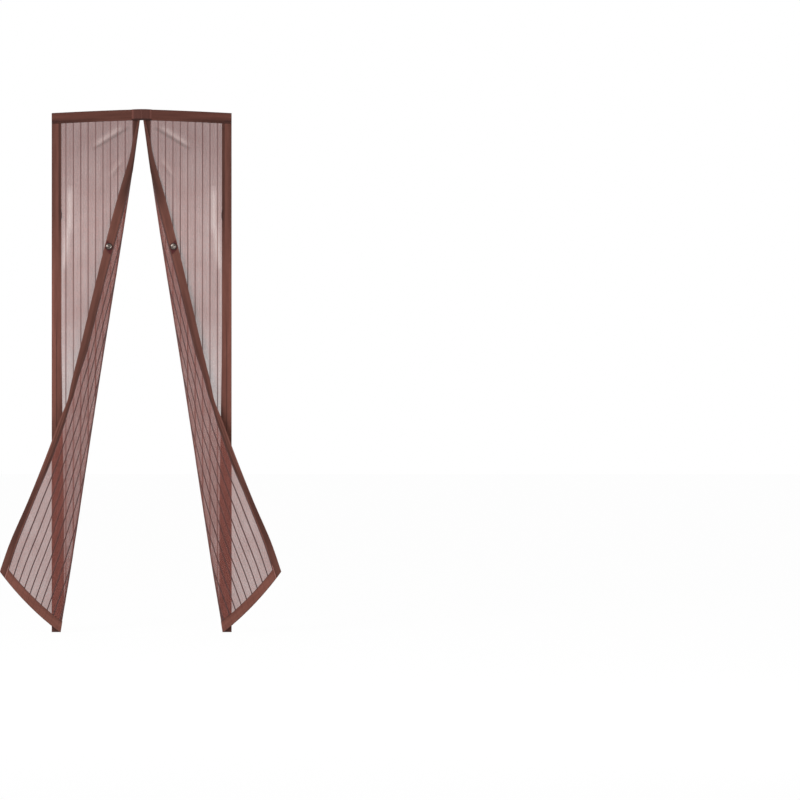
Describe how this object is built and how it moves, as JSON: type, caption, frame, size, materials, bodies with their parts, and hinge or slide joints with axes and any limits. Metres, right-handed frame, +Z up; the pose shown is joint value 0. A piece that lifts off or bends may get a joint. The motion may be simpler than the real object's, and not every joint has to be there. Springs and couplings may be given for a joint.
{
  "type": "magnetic insect screen",
  "caption": "Brown striped-mesh door screen, hung with both net panels folded back at the middle and swept out to the sides, with magnet edges and tie-back buttons.",
  "frame": {"origin": "middle of the top hook tape's back face, over the middle of the doorway", "axes": "+Y out of the back face into the door frame, +Z up along the height, +X to the right as seen from the room"},
  "size_m": [1.144, 0.0671, 2.116],
  "materials": {
    "net": "sheer striped polyester mesh",
    "tape": "woven binding tape",
    "fastener": "napped hook-and-loop tape and cord",
    "rim": "dark satin lacquer",
    "cap": "polished dome",
    "magnet": "matt flexible magnet strip"
  },
  "bodies": {
    "root": {"top_band": "tape", "centre_patch": "tape", "top_loop_tape": "fastener", "top_hook_tape": "fastener", "left_net": "net", "left_outer_binding": "tape", "left_inner_binding": "tape", "left_bottom_binding": "tape", "left_side_loop_tape": "fastener", "left_side_hook_tape": "fastener", "left_tieback_loop": "fastener", "left_button_tab": "fastener", "left_button_rim": "rim", "left_button_cap": "cap", "left_magnet_01": "magnet", "left_magnet_02": "magnet", "left_magnet_03": "magnet", "left_magnet_04": "magnet", "left_magnet_05": "magnet", "left_magnet_06": "magnet", "left_magnet_07": "magnet", "left_magnet_08": "magnet", "left_magnet_09": "magnet", "left_magnet_10": "magnet", "left_magnet_11": "magnet", "left_magnet_12": "magnet", "left_magnet_13": "magnet", "left_magnet_14": "magnet", "left_magnet_15": "magnet", "right_net": "net", "right_outer_binding": "tape", "right_inner_binding": "tape", "right_bottom_binding": "tape", "right_side_loop_tape": "fastener", "right_side_hook_tape": "fastener", "right_tieback_loop": "fastener", "right_button_tab": "fastener", "right_button_rim": "rim", "right_button_cap": "cap", "right_magnet_01": "magnet", "right_magnet_02": "magnet", "right_magnet_03": "magnet", "right_magnet_04": "magnet", "right_magnet_05": "magnet", "right_magnet_06": "magnet", "right_magnet_07": "magnet", "right_magnet_08": "magnet", "right_magnet_09": "magnet", "right_magnet_10": "magnet", "right_magnet_11": "magnet", "right_magnet_12": "magnet", "right_magnet_13": "magnet", "right_magnet_14": "magnet", "right_magnet_15": "magnet"}
  },
  "joints": []
}
